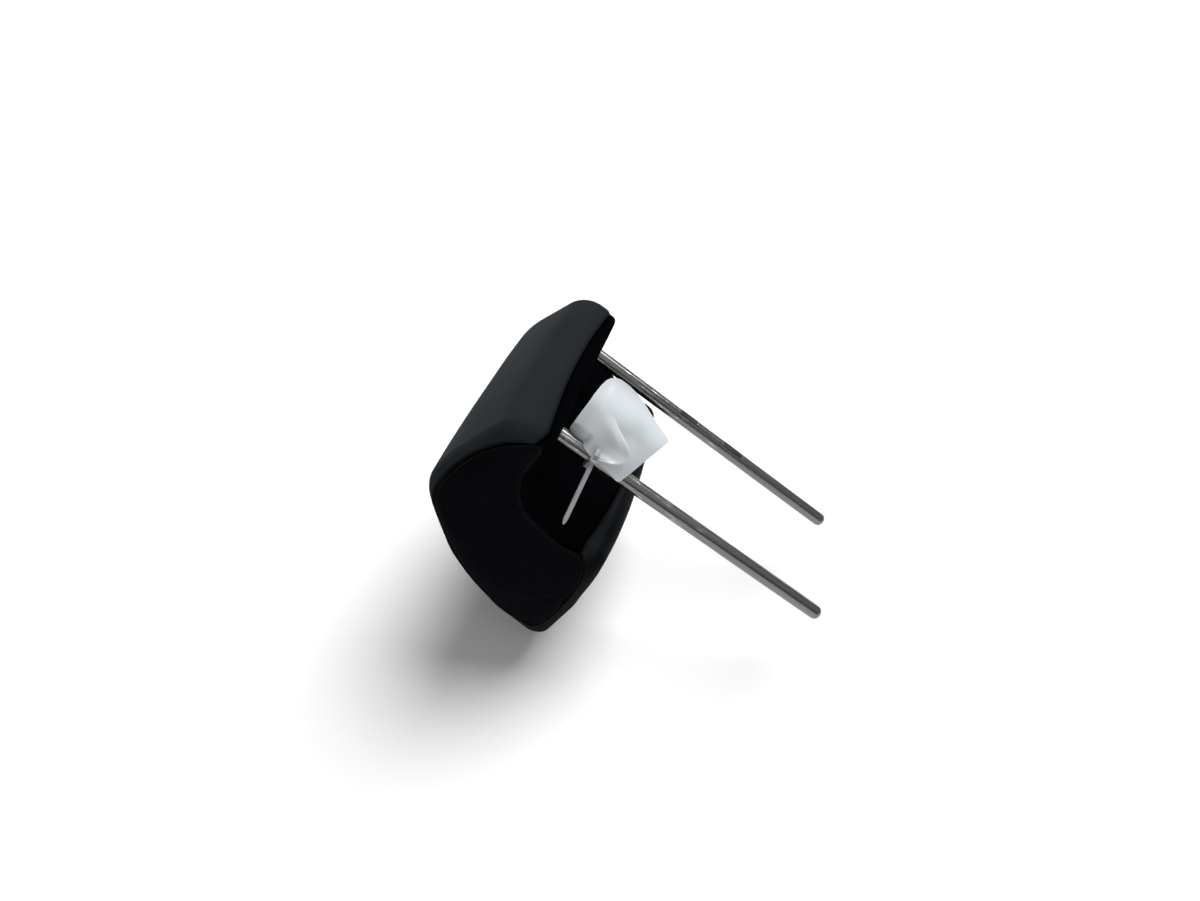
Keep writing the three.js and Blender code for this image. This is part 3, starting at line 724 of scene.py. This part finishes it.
# Two layouts in metres: the cloth's own thread directions, and the place along and beside the side seam
corner = np.empty(len(mesh.loops), dtype=int)
mesh.loops.foreach_get("vertex_index", corner)
start = np.empty(len(mesh.polygons), dtype=int)
total = np.empty(len(mesh.polygons), dtype=int)
mesh.polygons.foreach_get("loop_start", start)
mesh.polygons.foreach_get("loop_total", total)
ring_of, run_of = np.divmod(corner, cover.shape[1])
owner = np.repeat(np.arange(len(start)), total)
last = np.maximum.reduceat(run_of, start)
over_end = (last[owner] - run_of) > cover.shape[1] // 2
at_run = round_run[ring_of, run_of] + over_end * girth[ring_of, 0]
beside = to_side[ring_of, run_of]
on_side = np.minimum.reduceat(beside, start)[owner] > -0.01
flat_place = cover[ring_of, run_of]
weave = np.stack((np.where(on_side, flat_place[:, 1], at_run),
                  np.where(on_side, flat_place[:, 2], across_run[ring_of, run_of])), -1)
mesh.uv_layers.new(name="weave").data.foreach_set("uv", (weave / 1000).ravel())
beside_seam = np.stack((at_run, beside), -1)
mesh.uv_layers.new(name="beside_seam").data.foreach_set("uv", (beside_seam / 1000).ravel())
# Wrap 0, lining 1 and side 2, where lining and side carry darker copies of the wrap's knit as painted shade: the lining
# is the inner panel and the lip, from the seam on the lobe to the rear seam
side_face = on_side[start]
lining_face = ((np.minimum.reduceat(to_inner[ring_of, run_of], start) > -0.1)
               & (np.maximum.reduceat(to_lip[ring_of, run_of], start) < 0.1)) & ~side_face
mesh.polygons.foreach_set("material_index", np.where(side_face, 2, lining_face.astype(int)))
smoother = cushion.modifiers.new("rounder", "SUBSURF")
smoother.levels = 1
smoother.render_levels = 1
apply_modifiers(cushion)
bpy.ops.object.shade_smooth()

# Knit: rows of small V-shaped loops, from a layout in metres
knit_wale = 0.0004
knit_course = 0.0003
knit, given, result = new_group("knit", {"Vector": "Vector"}, {"Height": "Float"})
threads = add_node(knit, "SeparateXYZ", {"Vector": given["Vector"]}).outputs
wale = maths(knit, "PINGPONG", threads["Y"], knit_wale)
course = maths(knit, "PINGPONG", maths(knit, "ADD", threads["X"], wale), knit_course)
rows = maths(knit, "MULTIPLY", course, 1900)
fill_in(knit, result, {"Height": maths(knit, "MULTIPLY_ADD", wale, 1100, rows)})

# Seam shade and pull: painted shade darkens the cloth in a seam, and also where the painted-shade attribute is set; the
# cloth is drawn in between the stitches beside it
stitch_pitch = 0.0040
seam_shade_and_pull, given, result = new_group("seam_shade_and_pull", {"Gap": "Float", "PaintedShade": "Float", "Vector": "Vector"},
                                      {"Shade": "Float", "Pull": "Float"})
seam_shade = add_node(seam_shade_and_pull, "MapRange", {"Value": given["Gap"], "From Max": 3.0, "To Min": 0.2})
# Painted shade: the wrap's attribute darkens the cloth by up to 80 %
kept = maths(seam_shade_and_pull, "MULTIPLY_ADD", given["PaintedShade"], -0.8, 1)
seam_xy = add_node(seam_shade_and_pull, "SeparateXYZ", {"Vector": given["Vector"]}).outputs
pull = maths(seam_shade_and_pull, "PINGPONG", seam_xy["X"], stitch_pitch / 2)
reach = add_node(seam_shade_and_pull, "MapRange", {"Value": seam_xy["Y"], "From Min": 0.0048, "From Max": 0.0018})
past = maths(seam_shade_and_pull, "GREATER_THAN", seam_xy["Y"], 0.0002)
gather = maths(seam_shade_and_pull, "MULTIPLY", pull, reach.outputs["Result"])
fill_in(seam_shade_and_pull, result, {"Shade": maths(seam_shade_and_pull, "MULTIPLY", kept, seam_shade.outputs["Result"]),
                             "Pull": maths(seam_shade_and_pull, "MULTIPLY", gather, past)})


def knitted(name, colour, sheen, sheen_tint, gloss=0, with_painted_shade=False):
    # Cloth with the knit in its surface, painted shade in its seams, and the cloth drawn in beside the stitches
    material, tree, shader = new_material(name)
    finish = mottled(tree, colour, 0.35, 28, 1500, 0.86, 0.08)
    weave = add_node(tree, "UVMap", uv_map="weave")
    loops = add_node(tree, "Group", {"Vector": weave.outputs["UV"]}, node_tree=knit)
    gap = add_node(tree, "Attribute", attribute_name="seam_gap")
    beside = add_node(tree, "UVMap", uv_map="beside_seam")
    sewn = add_node(tree, "Group", {"Gap": gap.outputs["Fac"], "Vector": beside.outputs["UV"]}, node_tree=seam_shade_and_pull)
    # The wrap also takes its painted shade under the lobe and near its lower edge
    if with_painted_shade:
        low = add_node(tree, "Attribute", attribute_name="painted_shade")
        fill_in(tree, sewn, {"PaintedShade": low.outputs["Fac"]})
    shade = add_node(tree, "VectorMath", {"Vector": finish["Color"], "Scale": sewn.outputs["Shade"]}, operation="SCALE")
    fill_in(tree, shader, {"Base Color": shade.outputs["Vector"], "Roughness": finish["Roughness"],
                           "Specular IOR Level": gloss, "Sheen Weight": sheen, "Sheen Roughness": 0.38,
                           "Sheen Tint": sheen_tint})
    small = bumped(tree, shader, loops.outputs["Height"], 0.55, 0.00022)
    large = add_node(tree, "Bump", {"Height": sewn.outputs["Pull"], "Strength": 0.8, "Distance": 0.25})
    fill_in(tree, small, {"Normal": large.outputs["Normal"]})
    return material


# The side panels, the lining and the hems are the same knit as the wrap, painted darker: painted shade on the sides,
# which face away from the light, and in the recess with its lip
cover_knit = knitted("black_knit", (0.0185, 0.0215, 0.0240, 1), 0.06, (0.66, 0.76, 0.82, 1), 0.02, True)
shaded_side_knit = knitted("black_knit_shaded_side", (0.0046, 0.0047, 0.0060, 1), 0.03, (0.62, 0.70, 0.82, 1))
shaded_lining_knit = knitted("black_knit_shaded_recess", (0.0014, 0.0016, 0.0022, 1), 0.006, (0.6, 0.65, 0.72, 1))
for cloth in (cover_knit, shaded_lining_knit, shaded_side_knit):
    cushion.data.materials.append(cloth)
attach(cushion, "root")
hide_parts("foam_pad", "cover_main_panel", "cover_side_left", "cover_side_right", "cover_inner_panel",
            "cover_rear_lip")

# Topstitch: black thread runs through the side panels beside the side seams, in short stitches that pull the cloth
# down at both ends. One stitch is modelled and laid down along each seam.
stitch_length = 0.0029
stitch_beside = 2.5
tidy_select()
bpy.ops.mesh.primitive_cube_add(size=1)
stitch = bpy.context.object
stitch.name = "stitch"
stitch.scale = (stitch_length, 0.0007, 0.0006)
at_origin(stitch)
edit_mode(stitch, "EDGE")
bpy.ops.mesh.select_all(action="SELECT")
bpy.ops.mesh.bevel(offset=0.00018, segments=1, affect="EDGES")
object_mode()
for point in stitch.data.vertices:
    drop = (2 * point.co.x / stitch_length) ** 2
    point.co.z -= 0.0005 * drop
    point.co.y *= 1 - 0.25 * drop


def laid_out(name, model, frames):
    # One mesh with a copy of the model in each frame, of place, along and out
    corners = np.empty(len(model.data.vertices) * 3)
    model.data.vertices.foreach_get("co", corners)
    corners = corners.reshape(-1, 3)
    faces = [list(face.vertices) for face in model.data.polygons]
    points, polygons = [], []
    for place, along, outward in frames:
        aside = np.cross(outward, along)
        polygons += [[i + len(points) * len(corners) for i in face] for face in faces]
        points.append(place + corners @ np.array((along, aside, outward)))
    mesh = bpy.data.meshes.new(name)
    mesh.from_pydata(np.concatenate(points).tolist(), [], polygons)
    piece = bpy.data.objects.new(name, mesh)
    bpy.context.collection.objects.link(piece)
    return piece


material = plain_finish("black_thread", (0.0035, 0.0037, 0.0042, 1), 0.3, 300, 4000, 0.6, 0.1, (0.4, 0.0001),
                        Specular_IOR_Level=0.15)
for side, name in ((0, "stitches_right"), (1, "stitches_left")):
    rows = slice(0, side_rows[0] + 1) if side == 0 else slice(side_rows[1], None)
    line, facing = [], []
    for column in range(cover.shape[1]):
        distance = to_side[rows, column]
        order = np.argsort(distance)
        at = np.interp(stitch_beside, distance[order], np.arange(len(order)))
        low = min(int(at), len(order) - 2)
        near, far = cover[rows, column][order[low]], cover[rows, column][order[low + 1]]
        line.append(near + (far - near) * (at - low))
        facing.append(out[rows, column][order[low]])
    line, facing = np.array(line + line[:1]) / 1000, np.array(facing + facing[:1])
    run = np.r_[0, np.cumsum(np.linalg.norm(np.diff(line, axis=0), axis=1))]
    frames = []
    for at in np.arange(0, run[-1] - stitch_length, stitch_pitch):
        ends = [np.array([np.interp(at + step, run, line[:, i]) for i in range(3)]) for step in (-0.001, 0, 0.001)]
        outward = np.array([np.interp(at, run, facing[:, i]) for i in range(3)])
        along = ends[2] - ends[0]
        along /= np.linalg.norm(along)
        outward -= along * (outward @ along)
        outward /= np.linalg.norm(outward)
        frames.append((ends[1] + 0.00015 * outward, along, outward))
    stitches = laid_out(name, stitch, frames)
    own_material(stitches, material)
    clean_up(stitches, merge=0.000001, angle=60)
    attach(stitches, "root")
bpy.data.objects.remove(stitch)

# Hems: where the posts leave the cushion, the inner panel ends in a narrow turned edge, stitched down round each
# hole. The edge is a small round of cloth, spun about the post.
hem_radius = 0.0074
hem_round = 0.0011
hem_z = 0.2648
# The hems are painted as dark as the recess: painted shade
shaded_hem_knit = knitted("black_knit_shaded_hem", (0.0012, 0.0014, 0.0016, 1), 0.01, (0.6, 0.7, 0.75, 1))
for x, name in ((-post_x, "hem_right"), (post_x, "hem_left")):
    tidy_select()
    bpy.ops.mesh.primitive_circle_add(vertices=10, radius=hem_round, location=(x + hem_radius, 0, hem_z),
                                      rotation=(math.pi / 2, 0, 0))
    hem = bpy.context.object
    hem.name = name
    edit_mode(hem)
    bpy.ops.mesh.select_all(action="SELECT")
    bpy.ops.mesh.spin(steps=40, angle=2 * math.pi, center=(x, 0, hem_z), axis=(0, 0, 1))
    object_mode()
    at_origin(hem)
    clean_up(hem, angle=80)
    layout = hem.data.uv_layers.new(name="weave")
    for loop in hem.data.loops:
        point = hem.data.vertices[loop.vertex_index].co
        layout.data[loop.index].uv = (point.x + point.z, point.y + point.z)
    marks = hem.data.attributes.new("seam_gap", "FLOAT", "POINT")
    marks.data.foreach_set("value", [3.0] * len(hem.data.vertices))
    own_material(hem, shaded_hem_knit)
    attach(hem, "root")

# Tag: a bare piece of milky film, folded over at its upper edge and pinched to the post by the cable tie. The front
# layer bulges from its pinched corner. It is laid out in its own frame, in millimetres: u down the post, v away from
# the post, and w out from the film.
tie_z = 0.231
tag_turn = math.radians(49)
tag_lift = 7.0
tag_out = Vector((math.sin(tag_turn), math.cos(tag_turn), 0))
tag_down = Vector((0, 0, -1))
tag_across = tag_out.cross(tag_down)
tag_frame = Matrix((tag_down, tag_across, tag_out)).transposed().to_4x4()
tag_frame.translation = (post_x, 0, tie_z)
in_millimetres = Matrix.Scale(0.001, 4)
rear_upper = [(-9, 5.6), (-19, 5.8), (-27.5, 6.2), (-28.6, 14), (-28.2, 29.2), (-27.4, 45.5), (-25, 55), (-19, 59.4),
              (-9.8, 59.4), (-1, 58), (9.7, 54.4), (22, 48.9), (33, 44.8), (36.5, 43.6), (37.9, 42.2)]
rear_lower = [(-9, 5.6), (-4.5, -1), (5.6, -1.9), (12.1, -2.4), (21.4, -4.6), (24.6, -4.4), (25.6, -2.2), (28.4, 7.7),
              (32, 23.1), (37.2, 39.5), (37.9, 42.2)]
flap_root = [(-27.8, 40), (-28.2, 29.2), (-28, 12.1), (-24, 7.5), (-12, 6.4), (-4.6, 1.2)]
flap_edge = [(-9.5, 35.4), (-8.7, 34.8), (-0.2, 28.8), (9.6, 23.6), (18, 18.5), (20.2, 14.4), (16.4, 7.2), (8.5, 2.5),
             (3.7, 0.7), (-2.2, 0)]


def even_curve(points, count, rounds=2):
    # The corners rounded off, and then evenly spaced places along the line
    points = np.array(points, float)
    for _ in range(rounds):
        cut = np.stack((0.8 * points[:-1] + 0.2 * points[1:], 0.2 * points[:-1] + 0.8 * points[1:]), 1)
        points = np.concatenate((points[:1], cut.reshape(-1, 2), points[-1:]))
    run = np.r_[0, np.cumsum(np.linalg.norm(np.diff(points, axis=0), axis=1))]
    at = np.linspace(0, run[-1], count)
    return np.stack((np.interp(at, run, points[:, 0]), np.interp(at, run, points[:, 1])), -1)


def rear_height(u, v):
    # Pulled in to the post at the tie, rolled back at the upper edge, and bowed back towards the far end
    near_tie = np.exp(-((u + 3.5) / 7) ** 2 - ((v - 4) / 7) ** 2)
    rolled = -5.0 * smooth(-u, 14, 29) ** 2
    beside_post = -5.5 * smooth(-u, 9, 16) * smooth(-v, -14, -6)
    bowed = 2.5 * np.sin(np.clip(v / 58, 0, 1) * math.pi) - 7 * smooth(v, 30, 62)
    curled = 1.6 * smooth(u, 18, 38)
    hollow = -1.6 * np.exp(-((u - 14) / 9) ** 2 - ((v - 30) / 9) ** 2)
    return tag_lift - 0.8 * near_tie + rolled + beside_post + bowed + curled + hollow


def film_layer(name, first, second, height, tone, across_count):
    # Rows of points from one edge to the other, with tone's share of painted light kept at each point: low where the
    # film gets painted shade
    share = np.linspace(0, 1, across_count)[:, None, None]
    flat = first[None] * (1 - share) + second[None] * share
    points = np.concatenate((flat, height(flat, share[..., 0])[..., None]), -1)
    rows, columns = points.shape[:2]
    index = np.arange(rows * columns).reshape(rows, columns)
    quads = np.stack((index[:-1, :-1], index[1:, :-1], index[1:, 1:], index[:-1, 1:]), -1).reshape(-1, 4)
    mesh = bpy.data.meshes.new(name)
    mesh.from_pydata(points.reshape(-1, 3).tolist(), [], quads.tolist())
    mesh.transform(tag_frame @ in_millimetres)
    painted_light_share = mesh.attributes.new("painted_light_share", "FLOAT", "POINT")
    painted_light_share.data.foreach_set("value", np.broadcast_to(tone(share[..., 0]), (rows, columns)).ravel())
    piece = bpy.data.objects.new(name, mesh)
    bpy.context.collection.objects.link(piece)
    return piece


def flap_height(flat, share):
    # The front layer leaves the rear one at the rolled edge, bulges, and lifts most at its free edge near the tie
    u, v = flat[..., 0], flat[..., 1]
    along = np.linspace(0, 1, flat.shape[1])[None]
    open_wide = smooth(along, 0.06, 0.55) * (1 - 0.7 * smooth(along, 0.78, 1))
    rise = 0.12 * smooth(along, 0, 0.25) - 0.02 + open_wide * 5.6 * smooth(share, 0.25, 0.98)
    lip = 1.3 * smooth(share, 0.84, 1.0) * open_wide
    fold = 1.5 * np.exp(-((share - 0.6) / 0.16) ** 2) * smooth(along, 0.25, 0.6)
    return rear_height(u, v) + rise + lip - fold


# tone: painted shade towards the rolled upper edge of the rear layer and towards the flap's root, where the film curves
# away from the light
rear = film_layer("tag_rear", even_curve(rear_upper, 60), even_curve(rear_lower, 60),
                  lambda flat, share: rear_height(flat[..., 0], flat[..., 1]),
                  lambda share: 0.5 + 0.5 * smooth(share, 0, 0.3), 34)
flap = film_layer("tag_flap", even_curve(flap_root, 56), even_curve(flap_edge, 56), flap_height,
                  lambda share: share + (1 - share) * (0.5 + 0.5 * share) * (1 - smooth(np.linspace(0, 1, 56), 0, 0.4)),
                  30)
material, tree, shader = new_material("milky_film")
finish = mottled(tree, (0.69, 0.73, 0.76, 1), 0.14, 34, 700, 0.34, 0.12)
# Painted shade: the film is up to 3 % darker where its share of painted light is low
film_light_share = add_node(tree, "Attribute", attribute_name="painted_light_share")
film_shade = add_node(tree, "MapRange", {"Value": film_light_share.outputs["Fac"], "From Min": 0.25, "From Max": 0.98,
                                      "To Min": 0.97, "To Max": 1.0}, interpolation_type="SMOOTHSTEP")
tone = add_node(tree, "VectorMath", {"Vector": finish["Color"], "Scale": film_shade.outputs["Result"]}, operation="SCALE")
fill_in(tree, shader, {"Base Color": tone.outputs["Vector"], "Roughness": finish["Roughness"],
                       "Specular IOR Level": 0.5, "IOR": 1.48, "Coat Weight": 0.15, "Coat Roughness": 0.25})
bumped(tree, shader, finish["Height"], 0.25, 0.0002)
for film in (rear, flap):
    wall = film.modifiers.new("film", "SOLIDIFY")
    wall.thickness = 0.00028
    wall.offset = 0
    apply_modifiers(film)
    clean_up(film, angle=40)
    own_material(film, material)
    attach(film, "root")
    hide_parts("tag_sheet")

# Cable tie: natural nylon, moulded in one piece. Its strap goes round the post and through the film, is pulled
# through the square head, and its ribbed tail hangs down beside the post. It is laid out in the tag's frame.
strap_width = 3.1
strap_thick = 1.1
loop_radius = 8.6
loop_shift = loop_radius - post_radius * 1000 - 0.3
tie_u = -2.0
head_v = 0.0
head_size = (6.0, 6.0, 5.0)
head_w = loop_shift + loop_radius + strap_thick / 2 + head_size[2] / 2 - strap_thick
tail_length = 51.0
tail_turn = math.radians(10)
tidy_select()
bpy.ops.mesh.primitive_circle_add(vertices=48, radius=loop_radius, location=(tie_u - strap_width / 2, 0, loop_shift),
                                  rotation=(0, math.pi / 2, 0))
loop = bpy.context.object
loop.name = "tie_loop"
edit_mode(loop)
bpy.ops.mesh.select_all(action="SELECT")
push((strap_width, 0, 0))
object_mode()
at_origin(loop)
clean_up(loop)
wall = loop.modifiers.new("strap", "SOLIDIFY")
wall.thickness = strap_thick
wall.offset = 1
edges = loop.modifiers.new("soft_edges", "BEVEL")
edges.width = 0.22
edges.segments = 2
edges.limit_method = "ANGLE"
apply_modifiers(loop)

tidy_select()
bpy.ops.mesh.primitive_cube_add(size=1, location=(tie_u, head_v, head_w))
head = bpy.context.object
head.name = "tie_head"
head.scale = head_size
at_origin(head)
edit_mode(head, "FACE")
bpy.ops.mesh.select_all(action="SELECT")
bpy.ops.mesh.bevel(offset=0.5, segments=2, affect="EDGES")
object_mode()
choose(head, "FACE", lambda face: abs(face.normal.y) > 0.99 or face.normal.z > 0.99)
bpy.ops.mesh.inset(thickness=0.9, depth=-0.5, use_individual=True)
bpy.ops.mesh.inset(thickness=0.25, depth=-0.6, use_individual=True)
object_mode()

rib_count = 34
rib_pitch = (tail_length - 4) / rib_count
tidy_select()
bpy.ops.mesh.primitive_plane_add(size=1, location=(0, -2.0, 0))
tail = bpy.context.object
tail.name = "tie_tail"
tail.scale = (strap_width, 1.0, 1)
at_origin(tail)
choose(tail, "EDGE", lambda edge: max(end.co.y for end in edge.verts) < -2.4)
for _ in range(rib_count):
    push((0, -rib_pitch, 0))
push((0, -2.2, 0))
bpy.ops.transform.resize(value=(0.75, 1, 1))
push((0, -1.8, 0))
bpy.ops.transform.resize(value=(0.5, 1, 1))
object_mode()
field_area = 0.8 * strap_width * rib_pitch
choose(tail, "FACE", lambda face: face.calc_area() > field_area and face.calc_center_median().y < -5)
bpy.ops.mesh.inset(thickness=0.34, depth=0, use_individual=True)
bpy.ops.transform.translate(value=(0, 0, -0.38))
object_mode()
tidy_select()
edit_mode(tail)
bpy.ops.mesh.select_all(action="SELECT")
bpy.ops.mesh.normals_make_consistent(inside=False)
object_mode()
wall = tail.modifiers.new("strap", "SOLIDIFY")
wall.thickness = strap_thick
wall.offset = 0
apply_modifiers(tail)
tail.data.transform(Matrix.Translation((tie_u, head_v, head_w)) @ Matrix.Rotation(tail_turn, 4, "Z"))
tidy_select()
for piece in (head, loop, tail):
    piece.select_set(True)
bpy.context.view_layer.objects.active = head
bpy.ops.object.join()
tie = bpy.context.object
tie.name = "cable_tie_nylon"
tie.data.transform(tag_frame @ in_millimetres)
tidy_select()
tie.select_set(True)
bpy.ops.object.shade_smooth_by_angle(angle=math.radians(30))
material = plain_finish("natural_nylon", (0.36, 0.37, 0.38, 1), 0.2, 90, 1800, 0.42, 0.12, (0.25, 0.0001),
                        Specular_IOR_Level=0.45)
own_material(tie, material)
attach(tie, "root")
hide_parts("cable_tie")
